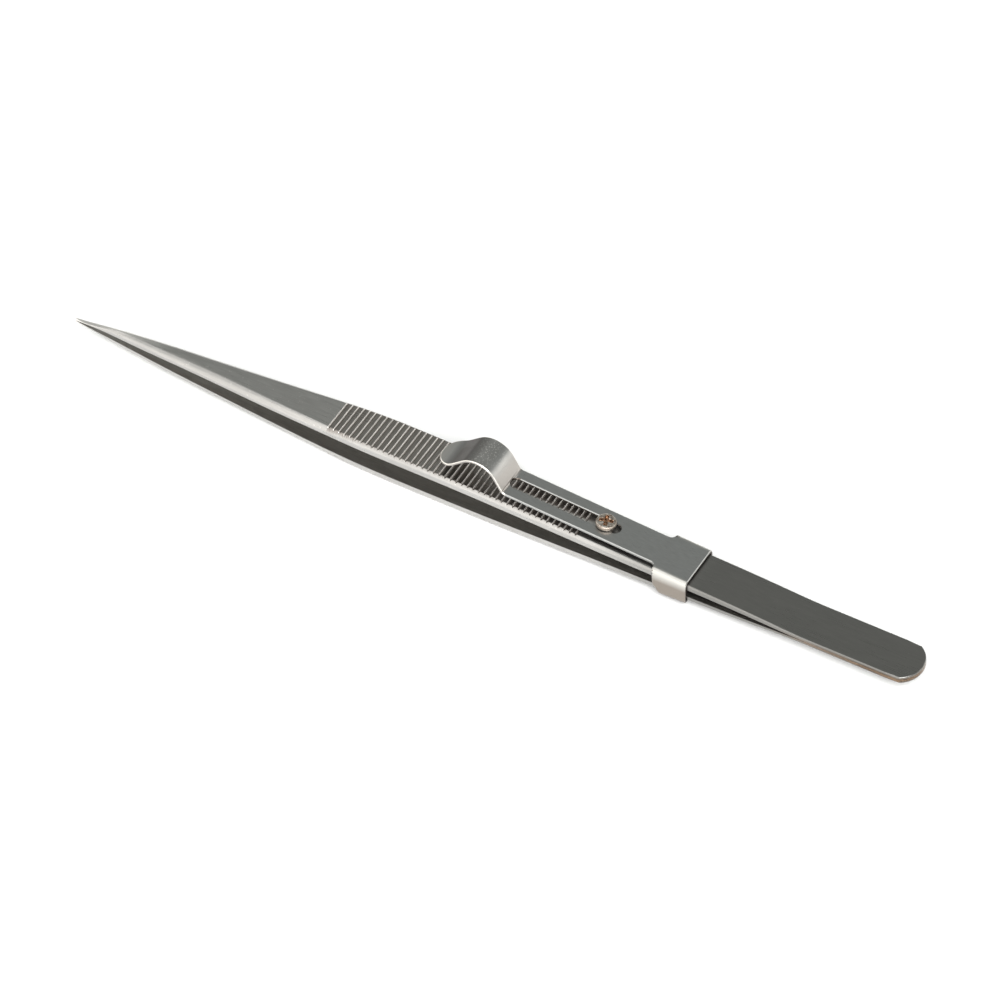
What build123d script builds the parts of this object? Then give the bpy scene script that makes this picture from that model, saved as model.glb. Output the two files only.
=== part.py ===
from build123d import *
import os
from math import atan2, degrees

# Slide-lock precision tweezers: two sprung blades joined at the tail, closed by a
# sheet-metal slide that is drawn along them and is guided by one M2 screw.
# +X runs from the tips to the tail, +Z is up, and the parting plane of the closed
# blades is horizontal. The origin is the middle of the underside.

# ---- Driving dimensions, in millimetres ----
length = 165.0
half_width = 4.25
tail_start = 145.0
tail_thickness = 0.66
braze_thickness = 0.06
tail_end_sagitta = 2.6
smooth_crown = 0.0136  # the loft's rise above its tallest section
tail_corner_radius = 1.0

# Blade sections: distance from the tip, half width, gap from the parting plane to the
# inner face, thickness, and the 45 degree bevel on the long outer edges.
blade_sections = [
    (0.0, 0.20, 0.01, 0.42, 0.14),
    (4.6, 0.45, 0.42, 0.51, 0.19),
    (8.0, 0.67, 0.56, 1.04, 0.47),
    (12.0, 1.02, 0.68, 1.42, 0.75),
    (20.0, 1.65, 1.00, 1.41, 0.84),
    (30.0, 2.38, 1.27, 1.37, 0.86),
    (40.0, 3.13, 1.46, 1.39, 0.88),
    (50.0, 3.76, 1.70, 1.49, 0.80),
    (60.0, 4.20, 1.80, 1.58, 0.62),
    (70.0, half_width, 1.84, 1.54, 0.58),
    (80.0, half_width, 1.78, 1.54, 0.56),
    (90.0, half_width, 1.56, 1.52, 0.56),
    (100.0, half_width, 1.26, 1.43, 0.52),
    (110.0, half_width, 0.98, 1.36, 0.42),
    (118.0, half_width, 0.86, 1.14, 0.34),
    (125.0, half_width, 0.76, 0.96, 0.27),
    (132.0, half_width, 0.58, 0.83, 0.24),
    (139.0, half_width, 0.26, 0.72, 0.22),
    (tail_start, half_width, braze_thickness / 2, tail_thickness, 0.16),
]

# Finger grip: cross grooves on the outer faces
groove_pitch = 1.10
groove_depth = 0.26
groove_width = 0.56
groove_rise = 0.05  # how far the cutting shape stands above the face
groove_first = 52.8
groove_count = 45
grip_start = 52.0
grip_end = 102.0

# Slide: one bent sheet, with a straight plate, a slot, a thumb tab and a collar
sheet = 0.5
plate_width = 6.5
plate_slope = 0.0571
plate_mark = 115.4
plate_height_at_mark = 3.03
slide_rear = 122.8
fold = 86.9
crest_corner = (82.8, 11.6)
valley_corner = (76.2, 6.05)
lip_end = (73.5, 5.5)
fold_radius = 0.8
crest_radius = 4.25
valley_radius = 4.6
lip_corner_radius = 3.0
slot_front = 86.75
slot_rear = 107.75
slot_width = 2.2
collar_front = 116.2
collar_half_width = 4.85
collar_corner_radius = 1.1
collar_running_gap = 0.14
flare_hollow_radius = 0.95
flare_corner_radius = 0.6
lip_gap = 2.0
wall_knee_height = 2.9  # above the collar's foot: here the front edge starts to lean back
wall_knee_lean = 1.9
wall_knee_radius = 2.0
wall_front_corner_radius = 1.2
wall_rear_corner_radius = 0.4

# Guide screw: M2 pan head with a cross recess
screw_place = 105.0
screw_diameter = 2.0
head_diameter = 3.6
head_rim_height = 0.3
head_round = 0.38
head_height = 0.85
head_clearance = 0.2
recess_span = 2.5
recess_arm = 0.68
recess_turn = 18.0
recess_taper = 12.0
recess_depth = 0.6
screw_reach = 2.6  # from the plate's top face to the end of the shank
screw_point = 0.2

spare = 1.0  # how far cutting shapes run past the metal

os.makedirs("parts", exist_ok=True)

# ---- Worked-out places ----
tip_x = -length / 2
mid_height = max(gap + thickness for _, _, gap, thickness, _ in blade_sections) + smooth_crown
slide_angle = degrees(atan2(plate_slope, 1.0))


def place(from_tip, height=0.0):
    """A point of the side view: distance from the tip, height above the parting plane."""
    return (tip_x + from_tip, mid_height + height)


def plate_top(from_tip):
    """Height of the slide's top face above the parting plane."""
    return plate_height_at_mark + plate_slope * (plate_mark - from_tip)


def outer_height(from_tip):
    """Height of a blade's outer face above the parting plane, straight between sections."""
    for near, far in zip(blade_sections, blade_sections[1:]):
        if from_tip <= far[0]:
            share = (from_tip - near[0]) / (far[0] - near[0])
            return (1 - share) * (near[2] + near[3]) + share * (far[2] + far[3])
    return tail_thickness + braze_thickness / 2


def across(from_tip):
    """The plane across the blades, seen from the tail: its x runs along +Y."""
    return Plane(origin=(tip_x + from_tip, 0, mid_height), x_dir=(0, 1, 0), z_dir=(1, 0, 0))


def blade_outline(half, gap, thickness, bevel):
    """Corners of a blade's section above the parting plane."""
    top = gap + thickness
    return [
        (-half, gap),
        (half, gap),
        (half, top - bevel),
        (half - bevel, top),
        (bevel - half, top),
        (-half, top - bevel),
    ]


# ---- Blades ----
with BuildPart() as tail_trim:
    with BuildSketch(Plane.XY):
        with BuildLine():
            end_x = tip_x + length
            shoulder_x = end_x - tail_end_sagitta
            start_x = tip_x - spare
            Line((start_x, -half_width), (shoulder_x, -half_width))
            ThreePointArc((shoulder_x, -half_width), (end_x, 0), (shoulder_x, half_width))
            Line((shoulder_x, half_width), (start_x, half_width))
            Line((start_x, half_width), (start_x, -half_width))
        make_face()
        shoulders = [v for v in vertices() if abs(v.X - shoulder_x) < 0.01]
        fillet(shoulders, tail_corner_radius)
    extrude(amount=3 * mid_height)

with BuildPart() as blade_front:
    for from_tip, half, gap, thickness, bevel in blade_sections:
        with BuildSketch(across(from_tip)):
            Polygon(*blade_outline(half, gap, thickness, bevel), align=None)
    loft()

with BuildPart() as blade_tail:
    with BuildSketch(across(tail_start)):
        Polygon(*blade_outline(*blade_sections[-1][1:]), align=None)
    extrude(amount=length - tail_start)
    add(tail_trim.part, mode=Mode.INTERSECT)

# The grip's grooves follow the curve of the outer face.
with BuildLine() as outer_line:
    grip_sections = [row for row in blade_sections if 40 <= row[0] <= 118]
    outer_face = Spline(*[place(row[0], row[2] + row[3]) for row in grip_sections])

with BuildPart() as grip_grooves:
    first_x = place(grip_sections[0][0])[0]
    reach = outer_face.length
    for number in range(groove_count):
        share = (place(groove_first + number * groove_pitch)[0] - first_x) / reach
        foot = outer_face @ share
        slope = outer_face % share
        lean = degrees(atan2(slope.Y, slope.X))
        flank = Plane(origin=(foot.X, 0, foot.Y), x_dir=(1, 0, 0), z_dir=(0, -1, 0)).rotated((0, -lean, 0))
        with BuildSketch(flank):
            half_mouth = groove_width / 2
            Polygon((-half_mouth, groove_rise), (0, -groove_depth), (half_mouth, groove_rise), align=None)
        extrude(amount=half_width + spare, both=True)

screw_top = place(screw_place, plate_top(screw_place))
plate_plane = Plane(origin=(screw_top[0], 0, screw_top[1]), x_dir=(1, 0, 0), z_dir=(0, 0, 1)).rotated(
    (0, slide_angle, 0)
)

# Both blades, whole: the upper one is tapped for the screw.
with BuildPart() as upper_blade:
    add(blade_front.part)
    add(blade_tail.part)
    add(grip_grooves.part, mode=Mode.SUBTRACT)
    with BuildSketch(plate_plane):
        Circle(screw_diameter / 2)
    extrude(amount=-screw_reach, mode=Mode.SUBTRACT)

parting_plane = Plane.XY.offset(mid_height)
with BuildPart() as lower_blade:
    add(blade_front.part)
    add(blade_tail.part)
    add(grip_grooves.part, mode=Mode.SUBTRACT)
    mirror(about=parting_plane, mode=Mode.REPLACE)


def stretch(blade, start, end, label):
    """The stretch of a blade between two distances from the tip, as a piece of its own."""
    with BuildPart() as piece:
        add(blade.part)
        with Locations(((place(start)[0] + place(end)[0]) / 2, 0, mid_height)):
            Box(end - start, 3 * half_width, 3 * mid_height, mode=Mode.INTERSECT)
    piece.part.label = label
    return piece


# Each blade is one strip of steel, kept here as the stretches that it is used as.
lower_jaw = stretch(lower_blade, 0, grip_start, "lower_jaw")
lower_grip = stretch(lower_blade, grip_start, grip_end, "lower_grip")
lower_spring = stretch(lower_blade, grip_end, length, "lower_spring")
upper_jaw = stretch(upper_blade, 0, grip_start, "upper_jaw")
upper_grip = stretch(upper_blade, grip_start, grip_end, "upper_grip")
upper_spring = stretch(upper_blade, grip_end, tail_start, "upper_spring")
upper_tail = stretch(upper_blade, tail_start, length, "upper_tail")

# Filler metal between the two tails
with BuildPart() as tail_braze:
    with BuildSketch(parting_plane.offset(-braze_thickness / 2)):
        tail_middle = tip_x + (length + tail_start) / 2
        with Locations((tail_middle, 0)):
            Rectangle(length - tail_start, 2 * half_width)
    extrude(amount=braze_thickness)
    add(tail_trim.part, mode=Mode.INTERSECT)
tail_braze.part.label = "tail_braze"

# ---- Slide ----
sheet_side = Plane.XZ
with BuildPart() as slide_strip:
    with BuildSketch(sheet_side):
        with BuildLine():
            FilletPolyline(
                place(slide_rear, plate_top(slide_rear)),
                place(fold, plate_top(fold)),
                place(*crest_corner),
                place(*valley_corner),
                place(*lip_end),
                radius=(fold_radius, crest_radius, valley_radius),
            )
            offset(amount=sheet, side=Side.LEFT)
        make_face()
    extrude(amount=plate_width / 2, both=True)


def collar_section(from_tip, inset):
    """Rounded section of the collar, which tapers with the blades; inset 0 is its outside."""
    top = plate_top(from_tip) - inset
    bottom = -outer_height(from_tip) - collar_running_gap - sheet + inset
    plane = across(from_tip)
    plane.origin += Vector(0, 0, (top + bottom) / 2)
    width = 2 * (collar_half_width - inset)
    with BuildSketch(plane) as section:
        RectangleRounded(width, top - bottom, collar_corner_radius - inset)
    return section.sketch


def collar_foot(from_tip):
    """Height of the collar's underside."""
    return -outer_height(from_tip) - collar_running_gap - sheet


collar_reach = collar_front - flare_hollow_radius
with BuildPart() as collar_space:
    add(collar_section(collar_reach - spare, sheet))
    add(collar_section(slide_rear + spare, sheet))
    loft(ruled=True)

# Seen from the side, the walls' front edges lean back to rounded lower corners.
wall_knee = place(collar_front, collar_foot(collar_front) + wall_knee_height)
wall_front_foot = place(collar_front + wall_knee_lean, collar_foot(collar_front + wall_knee_lean))
wall_rear_foot = place(slide_rear, collar_foot(slide_rear))
with BuildPart() as wall_trim:
    with BuildSketch(Plane.XZ):
        Polygon(
            place(collar_reach - spare, plate_top(collar_reach) + spare),
            place(collar_reach - spare, plate_top(collar_reach - spare) - sheet),
            place(collar_front, plate_top(collar_front) - sheet),
            wall_knee,
            wall_front_foot,
            wall_rear_foot,
            place(slide_rear, 0),
            place(slide_rear + spare, 0),
            place(slide_rear + spare, plate_top(slide_rear) + spare),
            align=None,
        )
        fillet(vertices().sort_by_distance(wall_knee)[0], wall_knee_radius)
        fillet(vertices().sort_by_distance(wall_front_foot)[0], wall_front_corner_radius)
        fillet(vertices().sort_by_distance(wall_rear_foot)[0], wall_rear_corner_radius)
    extrude(amount=collar_half_width + spare, both=True)

with BuildPart() as collar:
    add(collar_section(collar_reach, 0))
    add(collar_section(slide_rear, 0))
    loft(ruled=True)
    add(collar_space.part, mode=Mode.SUBTRACT)
    add(wall_trim.part, mode=Mode.INTERSECT)
    with BuildSketch(across(collar_reach)):
        with Locations((0, -mid_height)):
            Rectangle(lip_gap, 2 * mid_height)
    extrude(amount=slide_rear - collar_reach, mode=Mode.SUBTRACT)

# Seen from above, an S-curve leads from the plate's edge out to the collar.
flare_edge = place(collar_front)[0]
flare_clear = 0.02
with BuildPart() as flare_trim:
    with BuildSketch(Plane.XY):
        for side in (1, -1):
            hollow = (flare_edge, side * plate_width / 2)
            corner = (flare_edge, side * (collar_half_width + flare_clear))
            Polygon(
                (flare_edge - 3 * spare, hollow[1]),
                hollow,
                corner,
                (flare_edge + spare, corner[1]),
                (flare_edge + spare, 2 * corner[1]),
                (flare_edge - 3 * spare, 2 * corner[1]),
                align=None,
            )
            fillet(vertices().sort_by_distance(hollow)[0], flare_hollow_radius)
            fillet(vertices().sort_by_distance(corner)[0], flare_corner_radius)
    extrude(amount=3 * mid_height)

with BuildPart() as slide_lock:
    add(slide_strip.part)
    add(collar.part)
    add(flare_trim.part, mode=Mode.SUBTRACT)
    with BuildSketch(plate_plane):
        with Locations((place((slot_front + slot_rear) / 2)[0] - screw_top[0], 0)):
            SlotOverall(slot_rear - slot_front, slot_width)
    extrude(amount=2 * sheet, both=True, mode=Mode.SUBTRACT)
    lip_x = place(lip_end[0])[0]
    lip_corners = [e for e in edges().filter_by(Axis.Z, tolerance=20) if e.center().X < lip_x + 0.3]
    fillet(lip_corners, lip_corner_radius)
slide_lock.part.label = "slide_lock"

# ---- Guide screw ----
with BuildPart() as guide_screw:
    with BuildSketch(Plane(origin=plate_plane.origin, x_dir=plate_plane.x_dir, z_dir=-plate_plane.y_dir)):
        with BuildLine():
            head_radius = head_diameter / 2
            head_top = head_clearance + head_height
            rim_edge = (head_radius, head_clearance + head_rim_height)
            crown_edge = (head_radius - head_round, rim_edge[1] + head_round)
            crown_middle = crown_edge[1] + 0.75 * (head_top - crown_edge[1])
            Polyline(
                (head_radius, head_clearance + head_rim_height),
                (head_radius, head_clearance),
                (screw_diameter / 2, head_clearance),
                (screw_diameter / 2, -screw_reach + screw_point),
                (screw_diameter / 2 - screw_point, -screw_reach),
                (0, -screw_reach),
                (0, head_top),
            )
            ThreePointArc((0, head_top), (crown_edge[0] / 2, crown_middle), crown_edge)
            JernArc(start=rim_edge, tangent=(0, 1), radius=head_round, arc_size=90)
        make_face()
    revolve(axis=Axis(plate_plane.origin, plate_plane.z_dir))
    with BuildSketch(plate_plane.offset(head_clearance + head_height)):
        Rectangle(recess_span, recess_arm, rotation=recess_turn)
        Rectangle(recess_arm, recess_span, rotation=recess_turn)
    extrude(amount=-recess_depth, taper=recess_taper, mode=Mode.SUBTRACT)
guide_screw.part.label = "guide_screw"

blade_stretches = (lower_jaw, lower_grip, lower_spring, upper_jaw, upper_grip, upper_spring, upper_tail)
for piece in (*blade_stretches, tail_braze, slide_lock, guide_screw):
    export_step(piece.part, f"parts/{piece.part.label}.step")
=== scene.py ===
import math
import random

import bmesh
import bpy
import numpy as np
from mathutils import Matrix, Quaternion, Vector
from mathutils.bvhtree import BVHTree


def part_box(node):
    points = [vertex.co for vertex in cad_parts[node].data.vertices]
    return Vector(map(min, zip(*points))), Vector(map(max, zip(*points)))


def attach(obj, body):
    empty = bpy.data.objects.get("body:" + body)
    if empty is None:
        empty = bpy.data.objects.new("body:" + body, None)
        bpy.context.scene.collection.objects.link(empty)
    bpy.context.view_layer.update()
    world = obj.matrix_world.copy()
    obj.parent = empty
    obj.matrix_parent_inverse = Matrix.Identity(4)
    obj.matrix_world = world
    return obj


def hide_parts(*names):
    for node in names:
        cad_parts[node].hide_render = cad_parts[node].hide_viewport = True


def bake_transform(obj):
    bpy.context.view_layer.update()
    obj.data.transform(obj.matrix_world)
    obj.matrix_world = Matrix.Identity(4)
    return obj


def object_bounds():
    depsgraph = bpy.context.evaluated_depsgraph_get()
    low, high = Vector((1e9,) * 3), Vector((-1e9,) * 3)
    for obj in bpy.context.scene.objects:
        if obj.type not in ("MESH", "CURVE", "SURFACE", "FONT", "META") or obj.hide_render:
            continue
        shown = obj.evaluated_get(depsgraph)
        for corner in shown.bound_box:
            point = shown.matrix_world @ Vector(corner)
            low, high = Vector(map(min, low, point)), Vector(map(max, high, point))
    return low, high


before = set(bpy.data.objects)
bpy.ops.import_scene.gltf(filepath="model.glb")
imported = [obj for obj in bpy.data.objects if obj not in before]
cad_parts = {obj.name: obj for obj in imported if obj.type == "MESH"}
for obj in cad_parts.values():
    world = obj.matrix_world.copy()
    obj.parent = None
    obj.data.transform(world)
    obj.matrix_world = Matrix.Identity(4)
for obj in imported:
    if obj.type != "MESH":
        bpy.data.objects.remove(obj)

MM = 0.001
cad_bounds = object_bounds()

# ---- Places read from the frame ----
tip_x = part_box("upper_jaw")[0].x
tail_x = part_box("upper_tail")[1].x
hinge_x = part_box("upper_tail")[0].x
grip_start_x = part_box("upper_grip")[0].x
grip_end_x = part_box("upper_grip")[1].x
collar_rear_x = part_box("slide_lock")[1].x
braze_low, braze_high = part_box("tail_braze")
parting_z = (braze_low.z + braze_high.z) / 2


def from_tip(distance):
    """A place along the tweezers, given in millimetres behind the point."""
    return tip_x + distance * MM


# ---- Sizes of the finish, in metres ----
edge_round = 0.07 * MM
groove_pitch = 1.10 * MM
groove_first_x = from_tip(52.8)
groove_count = 45
groove_depth = 0.22 * MM
groove_steep_run = 0.15 * MM
groove_long_run = 0.30 * MM
groove_lit_half_width = 3.62 * MM
tail_turn = 3.4 * MM
tail_inset = 0.002 * MM
bevel_foot_round = 0.26 * MM
bevel_least = 0.02 * MM
tail_bevel_extra = 0.12 * MM
# Millimetres behind the point, and how far the ridge beside the flat top is worn round there
ridge_places = (0, 5, 10, 17, 26, 48, 60)
ridge_radii = (0.15, 0.4, 0.9, 1.1, 0.7, 0.25, 0.09)
# The passage through the slide's collar: its size at the rear, and how it opens toward the front
passage_half_width = 4.42 * MM
passage_half_height = 2.11 * MM
passage_slope = 0.06
passage_length = 8 * MM
flat_angle = math.radians(0.6)
sharp_angle = math.radians(28)


# ---- Mesh helpers ----
def cad_tree(nodes):
    """A search tree over several CAD nodes together."""
    points = []
    faces = []
    for node in nodes:
        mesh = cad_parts[node].data
        first = len(points)
        points += [v.co.copy() for v in mesh.vertices]
        faces += [[first + i for i in p.vertices] for p in mesh.polygons]
    return BVHTree.FromPolygons(points, faces)


def add_piece(name, points, faces):
    """A new object from points and faces, with no repeated points and outward faces."""
    mesh = bpy.data.meshes.new(name)
    mesh.from_pydata([tuple(p) for p in points], [], faces)
    shape = bmesh.new()
    shape.from_mesh(mesh)
    bmesh.ops.remove_doubles(shape, verts=shape.verts, dist=1e-8)
    bmesh.ops.recalc_face_normals(shape, faces=shape.faces)
    shape.to_mesh(mesh)
    shape.free()
    piece = bpy.data.objects.new(name, mesh)
    bpy.context.scene.collection.objects.link(piece)
    return piece


def settle(piece):
    """Applies the piece's modifiers to its mesh."""
    graph = bpy.context.evaluated_depsgraph_get()
    done = bpy.data.meshes.new_from_object(piece.evaluated_get(graph))
    piece.modifiers.clear()
    piece.data = done


def smooth(piece, angle):
    """Shades a piece smooth up to an angle, with flat faces kept flat by weighted normals."""
    for face in piece.data.polygons:
        face.use_smooth = True
    shape = bmesh.new()
    shape.from_mesh(piece.data)
    for edge in shape.edges:
        edge.smooth = edge.calc_face_angle(0.0) < angle
    shape.to_mesh(piece.data)
    shape.free()
    weigh = piece.modifiers.new("flat_faces", "WEIGHTED_NORMAL")
    weigh.keep_sharp = True
    weigh.weight = 80
    settle(piece)


# ---- Blades ----
def blade_probe(tree, side):
    """Reads a blade's section from the CAD model: half width, gap, outer height and bevel."""
    lift = Vector((0, 0, side))
    reach = 10 * MM
    near_edge = 0.02 * MM

    def probe(x):
        # The ray starts near the middle at the narrow point, and clears the screw's hole further back
        y = min(1.4 * MM, 0.05 * MM + 0.06 * max(0.0, x - tip_x - 6 * MM))
        if x > hinge_x:
            y = 0.1 * MM
        inner = tree.ray_cast(Vector((x, y, parting_z)), lift)[3]
        outer = reach - tree.ray_cast(Vector((x, y, parting_z)) + reach * lift, -lift)[3]
        middle = parting_z + side * (inner + 0.3 * (outer - inner))
        half = reach - tree.ray_cast(Vector((x, reach, middle)), Vector((0, -1, 0)))[3]
        edge_point = Vector((x, half - near_edge, parting_z)) + reach * lift
        shoulder = reach - tree.ray_cast(edge_point, -lift)[3]
        bevel = max(0.0, outer - shoulder + near_edge)
        return half, inner, outer, bevel

    return probe


def blade_samples():
    """Stations for reading the CAD blade, clear of the grip's grooves."""
    front = [from_tip(0.01)]
    front += list(np.arange(from_tip(1), grip_start_x, 1 * MM))
    grip = [groove_first_x + (n + 0.5) * groove_pitch for n in range(0, groove_count - 1, 2)]
    rear = list(np.arange(grip_end_x + 0.2 * MM, tail_x - tail_turn, 1 * MM))
    turn = [tail_x - tail_turn * (1 - math.sin(a)) for a in np.linspace(0, 0.5 * math.pi, 26)[:-1]]
    return np.array(front + grip + rear + turn + [tail_x - tail_inset])


def blade_stations(grooves):
    """Stations of the finished blade: at each groove's edges and foot, coarse elsewhere."""
    front = list(np.arange(from_tip(0.01), grooves[0][0] - 0.5 * MM, 0.5 * MM))
    grip = []
    for middle, _ in grooves:
        grip += [middle - groove_steep_run * share for share in (1.25, 1.0, 0.5, 0.0)]
        grip += [middle + groove_long_run * share for share in (0.15, 0.55, 1.0, 1.2)]
    rear = list(np.arange(grip_end_x, tail_x - tail_turn, 0.5 * MM))
    turn = [tail_x - tail_turn * (1 - math.sin(a)) for a in np.linspace(0, 0.5 * math.pi, 36)[:-1]]
    return np.array(front + grip + rear + turn + [tail_x - tail_inset])


def groove_cut(x, grooves):
    """Depth of the grip's grooves at a station."""
    cut = 0.0
    for middle, depth in grooves:
        run = groove_steep_run if x < middle else groove_long_run
        cut = max(cut, depth * (1 - abs(x - middle) / run))
    return cut


def rounded_section(corners, radii):
    """A closed outline with each corner turned by a short curve."""
    outline = []
    for i, corner in enumerate(corners):
        before = corners[i - 1] - corner
        after = corners[(i + 1) % len(corners)] - corner
        start = corner + before.normalized() * min(radii[i], 0.48 * before.length)
        end = corner + after.normalized() * min(radii[i], 0.48 * after.length)
        for t in (0.0, 0.25, 0.5, 0.75, 1.0):
            outline.append(start * (1 - t) ** 2 + corner * 2 * t * (1 - t) + end * t**2)
    return outline


def make_blade(name, nodes, side, seed):
    """One whole blade, from its point to its rounded tail, with the grip's grooves."""
    probe = blade_probe(cad_tree(nodes), side)
    samples = blade_samples()
    rows = np.array([probe(float(x)) for x in samples])
    draw = random.Random(seed)
    grooves = []
    for n in range(groove_count):
        middle = groove_first_x + n * groove_pitch + draw.uniform(-0.02, 0.02) * MM
        grooves.append((middle, groove_depth * draw.uniform(0.88, 1.04)))
    points = []
    faces = []
    around = 0
    stations = blade_stations(grooves)
    for x in stations:
        half, inner, outer, bevel = (float(np.interp(x, samples, rows[:, c])) for c in range(4))
        cut = groove_cut(x, grooves)
        outer -= cut
        bevel = max(bevel - cut, bevel_least)
        bevel += float(np.interp(x, (tail_x - 5 * MM, tail_x - 3 * MM), (0.0, tail_bevel_extra)))
        bevel = min(bevel, 0.9 * half)
        shoulder = outer - bevel
        crown = half - bevel
        if x > tail_x - 6 * MM:
            # The bevel also runs round the tail's curved end
            crown = min(crown, float(np.interp(x + bevel, samples, rows[:, 0])))
            outer -= max(0.0, x + 0.9 * bevel - tail_x)
        corners = [
            Vector((-half, inner)),
            Vector((half, inner)),
            Vector((half, shoulder)),
            Vector((crown, outer)),
            Vector((-crown, outer)),
            Vector((-half, shoulder)),
        ]
        ridge = float(np.interp((x - tip_x) / MM, ridge_places, ridge_radii)) * MM
        radii = (edge_round, edge_round, bevel_foot_round, ridge, ridge, bevel_foot_round)
        outline = rounded_section(corners, radii)
        around = len(outline)
        points += [(x, p.x, parting_z + side * p.y) for p in outline]
    for s in range(len(stations) - 1):
        for i in range(around):
            j = (i + 1) % around
            faces.append((s * around + i, s * around + j, (s + 1) * around + j, (s + 1) * around + i))
    faces.append(tuple(range(around)))
    last = (len(stations) - 1) * around
    faces.append(tuple(range(last + around - 1, last - 1, -1)))
    piece = add_piece(name, points, faces)
    smooth(piece, math.radians(50))
    # Inner faces take painted shade between the blades; far groove flanks and the grooves' ends on the
    # bevel take painted shade, and near groove flanks a painted highlight.
    for face in piece.data.polygons:
        inward = face.normal.z * side < -0.9
        in_grip = grip_start_x < face.center.x < grip_end_x
        off_middle = abs(face.center.y)
        in_land = in_grip and off_middle < groove_lit_half_width
        run_out = in_grip and off_middle >= groove_lit_half_width and abs(face.normal.x) > 0.2
        far_flank = in_land and face.normal.x < -0.25
        near_flank = in_land and face.normal.x > 0.4
        face.material_index = 1 if inward else 2 if far_flank or run_out else 3 if near_flank else 0
    return piece


# ---- Pieces that keep the CAD shape, with their edges broken ----
def in_passage(place):
    """True on the walls of the passage through the slide's collar."""
    half_height = passage_half_height + passage_slope * (collar_rear_x - place.x)
    within = abs(place.y) < passage_half_width and abs(place.z - parting_z) < half_height
    return within and place.x > collar_rear_x - passage_length


def edge_broken(name, node, width, shortest, segments=1, keeps_sharp=None):
    """A copy of a CAD node with its sharp edges chamfered, after merging what is shorter than given."""
    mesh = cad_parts[node].data.copy()
    shape = bmesh.new()
    shape.from_mesh(mesh)
    bmesh.ops.remove_doubles(shape, verts=shape.verts, dist=shortest)
    bmesh.ops.dissolve_limit(shape, angle_limit=flat_angle, verts=shape.verts, edges=shape.edges)
    bmesh.ops.dissolve_degenerate(shape, dist=shortest, edges=shape.edges)
    weights = shape.edges.layers.float.new("bevel_weight_edge")
    for edge in shape.edges:
        middle = (edge.verts[0].co + edge.verts[1].co) / 2
        sharp = edge.calc_face_angle(0.0) > sharp_angle
        kept = keeps_sharp is not None and keeps_sharp(middle)
        edge[weights] = float(sharp and not kept)
    shape.to_mesh(mesh)
    shape.free()
    mesh.materials.clear()
    piece = bpy.data.objects.new(name, mesh)
    bpy.context.scene.collection.objects.link(piece)
    bevel = piece.modifiers.new("broken_edges", "BEVEL")
    bevel.width = width
    bevel.segments = segments
    bevel.limit_method = "WEIGHT"
    bevel.use_clamp_overlap = False
    settle(piece)
    # A chamfer's corner that overshot goes back onto the CAD surface
    surface = cad_tree([node])
    for vertex in piece.data.vertices:
        nearest, _, _, away = surface.find_nearest(vertex.co)
        if away > 0.3 * width:
            vertex.co = nearest
    smooth(piece, math.radians(40))
    return piece


# ---- Materials ----
class Nodes:
    """A small builder for a material's node tree."""

    def __init__(self, name):
        self.material = bpy.data.materials.new(name)
        self.material.use_nodes = True
        self.tree = self.material.node_tree
        self.shader = self.tree.nodes["Principled BSDF"]
        self.place = self.add("ShaderNodeTexCoord").outputs["Object"]

    def add(self, kind, **values):
        """A new node with some of its properties set."""
        node = self.tree.nodes.new(kind)
        for key, value in values.items():
            setattr(node, key, value)
        return node

    def link(self, source, target):
        self.tree.links.new(source, target)

    def stretched(self, scale):
        """The object's own coordinates, scaled per axis."""
        mapping = self.add("ShaderNodeMapping")
        mapping.inputs["Scale"].default_value = scale
        self.link(self.place, mapping.inputs["Vector"])
        return mapping.outputs["Vector"]

    def noise(self, scale, detail, roughness):
        """Noise that is stretched along the axes, from 0 to 1."""
        node = self.add("ShaderNodeTexNoise")
        node.inputs["Scale"].default_value = 1.0
        node.inputs["Detail"].default_value = detail
        node.inputs["Roughness"].default_value = roughness
        self.link(self.stretched(scale), node.inputs["Vector"])
        return node.outputs["Fac"]

    def between(self, source, low, high, start, end):
        """Maps low..high of a value to start..end."""
        node = self.add("ShaderNodeMapRange")
        node.inputs["From Min"].default_value = low
        node.inputs["From Max"].default_value = high
        node.inputs["To Min"].default_value = start
        node.inputs["To Max"].default_value = end
        self.link(source, node.inputs["Value"])
        return node.outputs["Result"]

    def band(self, source, rise, fall):
        """1 between the end of the rise and the start of the fall, and 0 outside them."""
        risen = self.between(source, *rise, 0.0, 1.0)
        return self.math("MULTIPLY", risen, self.between(source, *fall, 1.0, 0.0))

    def axis(self, name):
        """One coordinate of the object's own place, in metres."""
        node = self.add("ShaderNodeSeparateXYZ")
        self.link(self.place, node.inputs["Vector"])
        return node.outputs[name]

    def math(self, operation, first, second):
        """A sum on two values, each a number or a socket."""
        node = self.add("ShaderNodeMath", operation=operation)
        for socket, value in zip(node.inputs, (first, second)):
            if isinstance(value, (int, float)):
                socket.default_value = value
            else:
                self.link(value, socket)
        return node.outputs["Value"]

    def mix(self, factor, first, second):
        """A blend of two colours, each a tuple or a socket."""
        node = self.add("ShaderNodeMix", data_type="RGBA")
        self.link(factor, node.inputs["Factor"])
        for socket, value in ((node.inputs[6], first), (node.inputs[7], second)):
            if isinstance(value, tuple):
                socket.default_value = (*value, 1.0)
            else:
                self.link(value, socket)
        return node.outputs[2]

    def bump(self, height, strength, distance, under=None):
        """A bumped normal, over another one if given."""
        node = self.add("ShaderNodeBump")
        node.inputs["Strength"].default_value = strength
        node.inputs["Distance"].default_value = distance
        self.link(height, node.inputs["Height"])
        if under is not None:
            self.link(under, node.inputs["Normal"])
        return node.outputs["Normal"]


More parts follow.
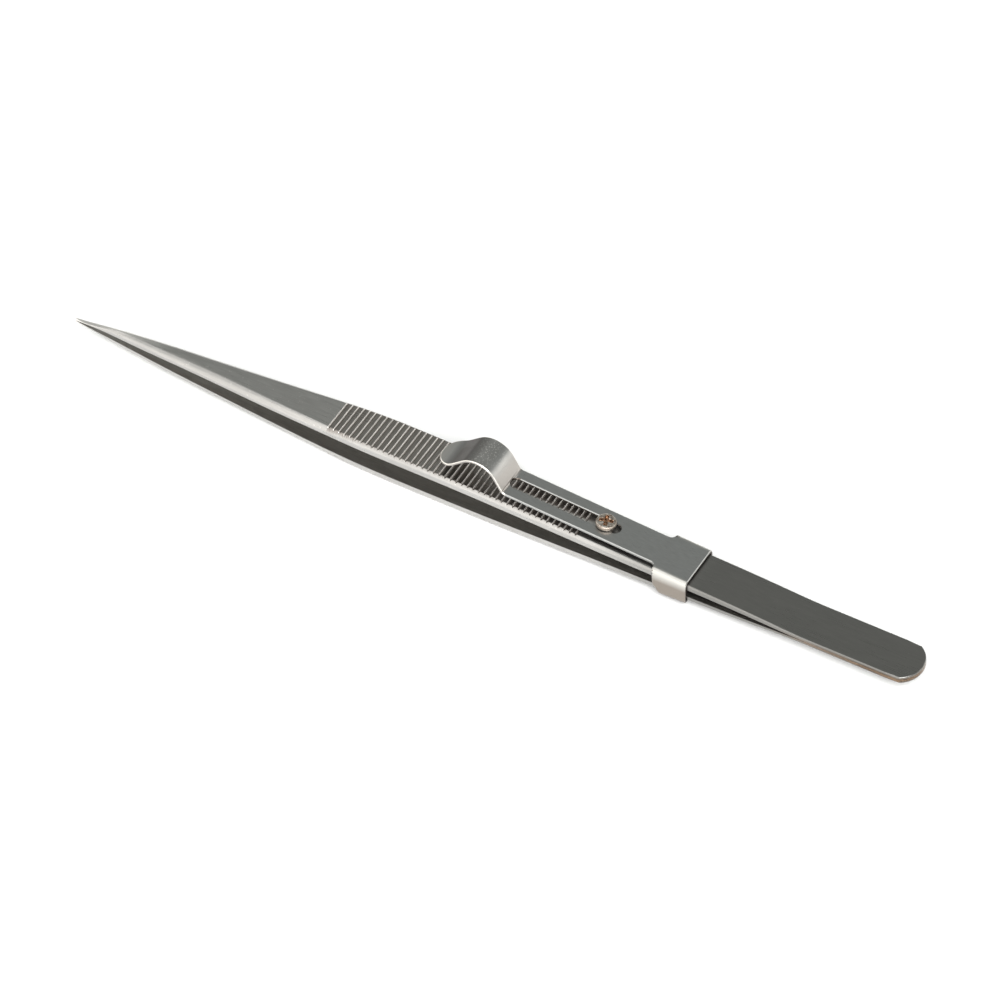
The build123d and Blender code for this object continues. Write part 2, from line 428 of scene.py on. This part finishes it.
def blade_steel():
    """Ground stainless steel: lengthwise brush lines, faint mottling, darker towards the tail, with a
    painted light band and painted shadow under the slot and a painted highlight on the crown near the
    point.
    """
    n = Nodes("blade_steel")
    lines = n.noise((260, 5200, 5200), 5.0, 0.7)
    cloud = n.noise((90, 420, 420), 3.0, 0.5)
    pits = n.noise((2400, 2400, 2400), 2.0, 0.4)
    cross = n.noise((5200, 500, 500), 3.0, 0.7)
    tone = n.mix(n.between(lines, 0.3, 0.7, 0.0, 1.0), (0.41, 0.405, 0.395), (0.53, 0.52, 0.505))
    tone = n.mix(n.between(cloud, 0.35, 0.7, 0.0, 0.35), tone, (0.38, 0.37, 0.355))
    tone = n.mix(n.between(pits, 0.68, 0.76, 0.0, 0.6), tone, (0.76, 0.75, 0.73))
    along = n.axis("X")
    off_middle = n.math("ABSOLUTE", n.axis("Y"), 0.0)
    first_groove = (groove_first_x - 0.2 * MM, groove_first_x)
    on_lands = n.band(along, first_groove, (grip_end_x - 1 * MM, grip_end_x))
    ragged = n.math("ADD", off_middle, n.between(cross, 0.3, 0.7, -0.25 * MM, 0.25 * MM))
    on_lands = n.math("MULTIPLY", on_lands, n.between(ragged, 3.5 * MM, 3.95 * MM, 0.8, 0.0))
    land = n.mix(n.between(cross, 0.35, 0.65, 0.0, 1.0), (0.185, 0.165, 0.15), (0.33, 0.30, 0.28))
    tone = n.mix(on_lands, tone, land)
    # Painted light: a lighter band on the blade under the slot, with a painted shadow on its far half.
    under_slot = n.band(along, (from_tip(85), from_tip(87)), (grip_end_x - 1 * MM, grip_end_x + 1 * MM))
    slot_painted_light = n.math("MULTIPLY", under_slot, n.between(off_middle, 1.3 * MM, 1.8 * MM, 1.0, 0.0))
    tone = n.mix(slot_painted_light, tone, (0.66, 0.65, 0.63))
    slot_far_painted_shadow = n.between(n.axis("Y"), -0.1 * MM, 0.3 * MM, 0.0, 0.85)
    tone = n.mix(n.math("MULTIPLY", slot_painted_light, slot_far_painted_shadow), tone, (0.13, 0.10, 0.085))
    # Painted highlight along the near side of the crown close to the point.
    near_point = n.between(along, from_tip(9), from_tip(20), 1.0, 0.0)
    crown_painted_highlight = n.between(n.axis("Y"), -0.45 * MM, -0.1 * MM, 0.0, 1.0)
    tone = n.mix(n.math("MULTIPLY", near_point, crown_painted_highlight), tone, (0.98, 0.95, 0.92))
    behind_grip = n.between(along, grip_end_x, hinge_x - 20 * MM, 0.0, 0.8)
    tone = n.mix(behind_grip, tone, (0.17, 0.167, 0.158))
    near_tail = n.between(along, hinge_x - 12 * MM, hinge_x + 12 * MM, 0.0, 1.0)
    off_seam = n.math("ABSOLUTE", n.math("SUBTRACT", n.axis("Z"), parting_z), 0.0)
    seam = n.math("MULTIPLY", n.between(off_seam, 0.25 * MM, 0.6 * MM, 0.95, 0.0), near_tail)
    streak = n.noise((300, 3000, 5200), 4.0, 0.65)
    stain = n.mix(n.between(streak, 0.42, 0.62, 0.0, 1.0), (0.075, 0.055, 0.04), (0.25, 0.17, 0.11))
    tone = n.mix(seam, tone, stain)
    n.link(tone, n.shader.inputs["Base Color"])
    n.shader.inputs["Metallic"].default_value = 1.0
    clouded = n.between(cloud, 0.3, 0.7, -0.03, 0.05)
    rough = n.math("ADD", n.between(lines, 0.3, 0.7, 0.26, 0.36), clouded)
    n.link(rough, n.shader.inputs["Roughness"])
    fine = n.bump(lines, 0.5, 0.010 * MM)
    n.link(n.bump(pits, 0.25, 0.01 * MM, fine), n.shader.inputs["Normal"])
    return n.material


def blade_inner_painted_shade():
    """The blades' inner faces: darker steel, painted shade between the blades."""
    n = Nodes("blade_inner_painted_shade")
    lines = n.noise((300, 5200, 5200), 4.0, 0.7)
    tone = n.mix(n.between(lines, 0.3, 0.7, 0.0, 1.0), (0.32, 0.31, 0.29), (0.42, 0.405, 0.385))
    n.link(tone, n.shader.inputs["Base Color"])
    n.shader.inputs["Metallic"].default_value = 1.0
    n.link(n.between(lines, 0.3, 0.7, 0.3, 0.4), n.shader.inputs["Roughness"])
    n.link(n.bump(lines, 0.4, 0.008 * MM), n.shader.inputs["Normal"])
    return n.material


def painted_shade_and_highlight_steel(name, dark, light):
    """Dull steel in a given tone range with a coarse grain, for painted shade and painted highlights.
    """
    n = Nodes(name)
    grain = n.noise((4000, 4000, 1500), 3.0, 0.6)
    tone = n.mix(n.between(grain, 0.3, 0.7, 0.0, 1.0), dark, light)
    n.link(tone, n.shader.inputs["Base Color"])
    n.shader.inputs["Metallic"].default_value = 1.0
    n.link(n.between(grain, 0.3, 0.7, 0.4, 0.6), n.shader.inputs["Roughness"])
    n.link(n.bump(grain, 0.4, 0.01 * MM), n.shader.inputs["Normal"])
    return n.material


def slide_steel():
    """Satin sheet steel: a lengthwise grain, painted shade on the thumb tab's rising slope, a painted
    highlight round the tab's rim and on the bend, and painted shade low on the walls.
    """
    n = Nodes("slide_steel")
    lines = n.noise((700, 9000, 9000), 4.0, 0.65)
    cloud = n.noise((260, 420, 420), 3.0, 0.5)
    specks = n.noise((4200, 4200, 4200), 2.0, 0.4)
    along = n.axis("X")
    off_middle = n.math("ABSOLUTE", n.axis("Y"), 0.0)
    height = n.axis("Z")
    tone = n.mix(n.between(lines, 0.3, 0.7, 0.0, 1.0), (0.36, 0.365, 0.36), (0.44, 0.445, 0.44))
    tone = n.mix(n.between(cloud, 0.4, 0.7, 0.0, 0.3), tone, (0.33, 0.335, 0.33))
    lip = n.between(along, from_tip(74.4), from_tip(76.2), 1.0, 0.0)
    tone = n.mix(lip, tone, (0.47, 0.46, 0.44))
    crest = n.band(along, (from_tip(79.4), from_tip(80.6)), (from_tip(83.4), from_tip(85.0)))
    speckled = n.mix(n.between(specks, 0.57, 0.67, 0.0, 1.0), (0.35, 0.345, 0.335), (0.62, 0.61, 0.59))
    tone = n.mix(crest, tone, speckled)
    # Painted shade on the thumb tab's rising slope.
    rising_slope_painted_shade = n.band(along, (from_tip(75.2), from_tip(77.0)), (from_tip(79.4), from_tip(81.6)))
    tone = n.mix(rising_slope_painted_shade, tone, (0.125, 0.117, 0.11))
    flank = n.band(along, (from_tip(84.6), from_tip(85.8)), (from_tip(86.9), from_tip(87.3)))
    tone = n.mix(flank, tone, (0.39, 0.37, 0.35))
    # A painted highlight follows the tab's rounded end as its rim, and painted shade darkens the side
    # face outside it
    before_end = n.math("MINIMUM", n.math("SUBTRACT", along, from_tip(76.5)), 0.0)
    beside_end = n.math("MAXIMUM", n.math("SUBTRACT", off_middle, 0.25 * MM), 0.0)
    squares = n.math("ADD", n.math("POWER", before_end, 2.0), n.math("POWER", beside_end, 2.0))
    from_end = n.math("SQRT", squares, 0.0)
    on_tab = n.between(along, from_tip(86.5), from_tip(87.5), 1.0, 0.0)
    rim = n.math("MULTIPLY", n.between(from_end, 2.80 * MM, 2.88 * MM, 0.0, 1.0), on_tab)
    tone = n.mix(rim, tone, (0.88, 0.85, 0.80))
    rim_side_painted_shade = n.math("MULTIPLY", n.between(from_end, 2.975 * MM, 2.995 * MM, 0.0, 1.0), rim)
    tone = n.mix(rim_side_painted_shade, tone, (0.40, 0.38, 0.36))
    # Painted highlight on the collar's bend, and painted shade low on its side walls.
    bend_painted_highlight = n.between(off_middle, 3.7 * MM, 4.2 * MM, 0.0, 1.0)
    tone = n.mix(bend_painted_highlight, tone, (0.60, 0.59, 0.56))
    at_wall = n.between(off_middle, 4.55 * MM, 4.75 * MM, 0.0, 1.0)
    low = n.between(height, parting_z + 0.6 * MM, parting_z + 2.1 * MM, 1.0, 0.0)
    wall_painted_shade = n.math("MULTIPLY", at_wall, low)
    tone = n.mix(wall_painted_shade, tone, (0.27, 0.24, 0.21))
    n.link(tone, n.shader.inputs["Base Color"])
    n.shader.inputs["Metallic"].default_value = 1.0
    clouded = n.between(cloud, 0.3, 0.7, -0.02, 0.05)
    rough = n.math("ADD", n.between(lines, 0.3, 0.7, 0.27, 0.36), clouded)
    rough = n.math("ADD", rough, n.between(along, from_tip(81.5), from_tip(84), 0.14, 0.0))
    n.link(rough, n.shader.inputs["Roughness"])
    n.link(n.bump(lines, 0.3, 0.005 * MM), n.shader.inputs["Normal"])
    return n.material


def screw_metal():
    """Nickel plate, cloudy from warm brown to pale."""
    n = Nodes("screw_metal")
    cloud = n.noise((2200, 2200, 2200), 3.0, 0.5)
    tone = n.mix(n.between(cloud, 0.35, 0.65, 0.0, 1.0), (0.33, 0.26, 0.21), (0.86, 0.80, 0.73))
    n.link(tone, n.shader.inputs["Base Color"])
    n.shader.inputs["Metallic"].default_value = 1.0
    n.link(n.between(cloud, 0.3, 0.7, 0.14, 0.28), n.shader.inputs["Roughness"])
    n.link(n.bump(cloud, 0.5, 0.03 * MM), n.shader.inputs["Normal"])
    return n.material


def recess_metal():
    """The screw's recess: brown steel, darkened as painted shade in the hollow."""
    n = Nodes("recess_metal")
    cloud = n.noise((3000, 3000, 3000), 2.0, 0.5)
    tone = n.mix(n.between(cloud, 0.35, 0.65, 0.0, 1.0), (0.14, 0.075, 0.04), (0.55, 0.36, 0.24))
    n.link(tone, n.shader.inputs["Base Color"])
    n.shader.inputs["Metallic"].default_value = 1.0
    n.link(n.between(cloud, 0.3, 0.7, 0.22, 0.34), n.shader.inputs["Roughness"])
    n.link(n.bump(cloud, 0.3, 0.02 * MM), n.shader.inputs["Normal"])
    return n.material


def braze_metal():
    """Matt copper-coloured filler metal."""
    n = Nodes("braze_metal")
    grain = n.noise((3000, 5000, 5000), 4.0, 0.6)
    tone = n.mix(n.between(grain, 0.3, 0.7, 0.0, 1.0), (0.22, 0.13, 0.08), (0.50, 0.34, 0.23))
    n.link(tone, n.shader.inputs["Base Color"])
    n.shader.inputs["Metallic"].default_value = 1.0
    n.link(n.between(grain, 0.3, 0.7, 0.4, 0.55), n.shader.inputs["Roughness"])
    n.link(n.bump(grain, 0.5, 0.02 * MM), n.shader.inputs["Normal"])
    return n.material


def floor_paint():
    """Plain pale studio floor with the faintest unevenness."""
    n = Nodes("studio_floor")
    grain = n.noise((9, 9, 9), 4.0, 0.5)
    n.link(n.mix(grain, (0.86, 0.86, 0.86), (0.89, 0.89, 0.89)), n.shader.inputs["Base Color"])
    n.shader.inputs["Roughness"].default_value = 0.7
    return n.material


def paint(piece, *materials):
    """Gives a piece its materials; each face's index picks one."""
    indices = [face.material_index for face in piece.data.polygons]
    piece.data.materials.clear()
    for material in materials:
        piece.data.materials.append(material)
    piece.data.polygons.foreach_set("material_index", indices)


def finish_piece(piece, body, slot, node, *materials):
    """Paints a piece, puts it on its body and hides the CAD node that it stands for."""
    paint(piece, *materials)
    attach(piece, body)
    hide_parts(node)


steel = blade_steel()
inner_painted_shade = blade_inner_painted_shade()
# Groove flank materials: painted shade for the far flanks and groove ends, and a painted highlight for
# the near flanks.
far_flank_painted_shade = painted_shade_and_highlight_steel("groove_far_flank_painted_shade", (0.10, 0.085, 0.075), (0.20, 0.18, 0.16))
near_flank_painted_highlight = painted_shade_and_highlight_steel("groove_near_flank_painted_highlight", (0.80, 0.77, 0.74), (0.98, 0.95, 0.91))
lower_blade = make_blade("lower_blade", ["lower_jaw", "lower_grip", "lower_spring"], -1, 11)
paint(lower_blade, steel, inner_painted_shade, far_flank_painted_shade, near_flank_painted_highlight)
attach(lower_blade, "lower_arm")
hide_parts("lower_jaw", "lower_grip", "lower_spring")

upper_nodes = ["upper_jaw", "upper_grip", "upper_spring", "upper_tail"]
upper_blade = make_blade("upper_blade", upper_nodes, 1, 7)
paint(upper_blade, steel, inner_painted_shade, far_flank_painted_shade, near_flank_painted_highlight)
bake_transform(upper_blade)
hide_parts(*upper_nodes)

slide = edge_broken("slide_lock_sheet", "slide_lock", 0.14 * MM, 0.05 * MM, keeps_sharp=in_passage)
slot_reach = 1.3 * MM
slot_mouth_reach = 1.4 * MM
slot_mouth_face = 0.3 * MM * MM
collar_wall = 4.3 * MM
# Slot walls, the side walls' rear ends, the underside and the slot mouth's small faces take a dark
# material: painted shade.
for face in slide.data.polygons:
    off_middle = abs(face.center.y)
    upright = abs(face.normal.z) < 0.3
    in_slot = off_middle < slot_reach and upright and face.center.x > grip_start_x + 34 * MM
    rear_cut = face.normal.x > 0.9 and off_middle > collar_wall
    underside = face.normal.z < -0.4
    at_mouth = off_middle < slot_mouth_reach and from_tip(85.8) < face.center.x < from_tip(88)
    slot_mouth = at_mouth and face.area < slot_mouth_face
    face.material_index = 1 if in_slot or rear_cut or underside or slot_mouth else 0
slide_painted_shade = painted_shade_and_highlight_steel("painted_shade_and_highlight_steel", (0.07, 0.06, 0.05), (0.16, 0.135, 0.12))
finish_piece(slide, "slide", "slide_steel", "slide_lock", slide_steel(), slide_painted_shade)

screw = edge_broken("guide_screw_m2", "guide_screw", 0.05 * MM, 0.02 * MM, segments=2)
screw_low, screw_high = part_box("guide_screw")
screw_middle = (screw_low + screw_high) / 2
recess_reach = 1.3 * MM
recess_edge_depth = 0.45 * MM
head_depth = 0.8 * MM
# The recess takes brown steel darkened as painted shade, and the head's side below the rim takes
# painted shade.
for face in screw.data.polygons:
    out = math.hypot(face.center.x - screw_middle.x, face.center.y - screw_middle.y)
    recessed = face.normal.z < 0.6 or face.center.z < screw_high.z - recess_edge_depth
    in_head = face.center.z > screw_high.z - head_depth
    in_recess = out < recess_reach and in_head and recessed
    at_rim = out > recess_reach and face.normal.z < 0.8
    face.material_index = 1 if in_recess else 2 if at_rim else 0
rim_painted_shade = painted_shade_and_highlight_steel("screw_rim_painted_shade", (0.26, 0.21, 0.17), (0.46, 0.41, 0.36))
finish_piece(screw, "upper_arm", "screw_metal", "guide_screw", screw_metal(), recess_metal(), rim_painted_shade)

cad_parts["tail_braze"].data.materials.clear()
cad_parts["tail_braze"].data.materials.append(braze_metal())

# ---- Stage, light and camera ----
floor_size = 3.0
floor_mesh = bpy.data.meshes.new("floor")
half = floor_size / 2
floor_corners = [(-half, -half, 0), (half, -half, 0), (half, half, 0), (-half, half, 0)]
floor_mesh.from_pydata(floor_corners, [], [(0, 1, 2, 3)])
floor = bpy.data.objects.new("floor", floor_mesh)
floor.location.z = cad_bounds[0][2]
bpy.context.scene.collection.objects.link(floor)
floor_mesh.materials.append(floor_paint())


def softbox(name, toward, distance, size, power, tint=(1, 1, 1)):
    """A rectangular area light that faces the frame's origin from a direction."""
    light = bpy.data.lights.new(name, "AREA")
    light.shape = "RECTANGLE"
    light.size, light.size_y = size
    light.energy = power
    light.color = tint
    lamp = bpy.data.objects.new(name, light)
    direction = Vector(toward).normalized()
    lamp.location = direction * distance
    lamp.rotation_euler = direction.to_track_quat("Z", "Y").to_euler()
    bpy.context.scene.collection.objects.link(lamp)


softbox("key_softbox", (0.46, -0.50, 0.73), 1.0, (0.8, 0.6), 14.5)
softbox("front_softbox", (-0.34, -0.85, 0.36), 0.9, (1.0, 0.85), 3.7, (1.0, 0.965, 0.93))
softbox("top_softbox", (-0.35, -0.22, 0.90), 1.0, (0.6, 0.55), 1.15, (1.0, 0.98, 0.96))
softbox("right_softbox", (0.79, 0.59, 0.14), 0.9, (0.5, 0.5), 1.2, (1.0, 0.97, 0.93))
softbox("left_softbox", (-0.97, -0.15, 0.20), 1.0, (0.5, 0.5), 1.2, (1.0, 0.975, 0.95))

world = bpy.data.worlds.new("studio")
world.use_nodes = True
background = world.node_tree.nodes["Background"]
background.inputs["Color"].default_value = (0.97, 1.0, 0.96, 1)
background.inputs["Strength"].default_value = 0.40
bpy.context.scene.world = world
bpy.context.scene.view_settings.view_transform = "Standard"

azimuth = math.radians(29.75)
elevation = math.radians(46.89)
view_distance = 1.2
aim = Vector((2.61 * MM, -1.02 * MM, parting_z))
roll = -0.003
backward = Vector(
    (
        math.sin(azimuth) * math.cos(elevation),
        -math.cos(azimuth) * math.cos(elevation),
        math.sin(elevation),
    )
)
camera_data = bpy.data.cameras.new("camera")
camera_data.sensor_width = 36
camera_data.lens = 255.5
camera_data.clip_start = 0.01
camera = bpy.data.objects.new("camera", camera_data)
camera.location = aim + backward * view_distance
camera.rotation_euler = (backward.to_track_quat("Z", "Y") @ Quaternion((0, 0, 1), roll)).to_euler()
bpy.context.scene.collection.objects.link(camera)
bpy.context.scene.camera = camera
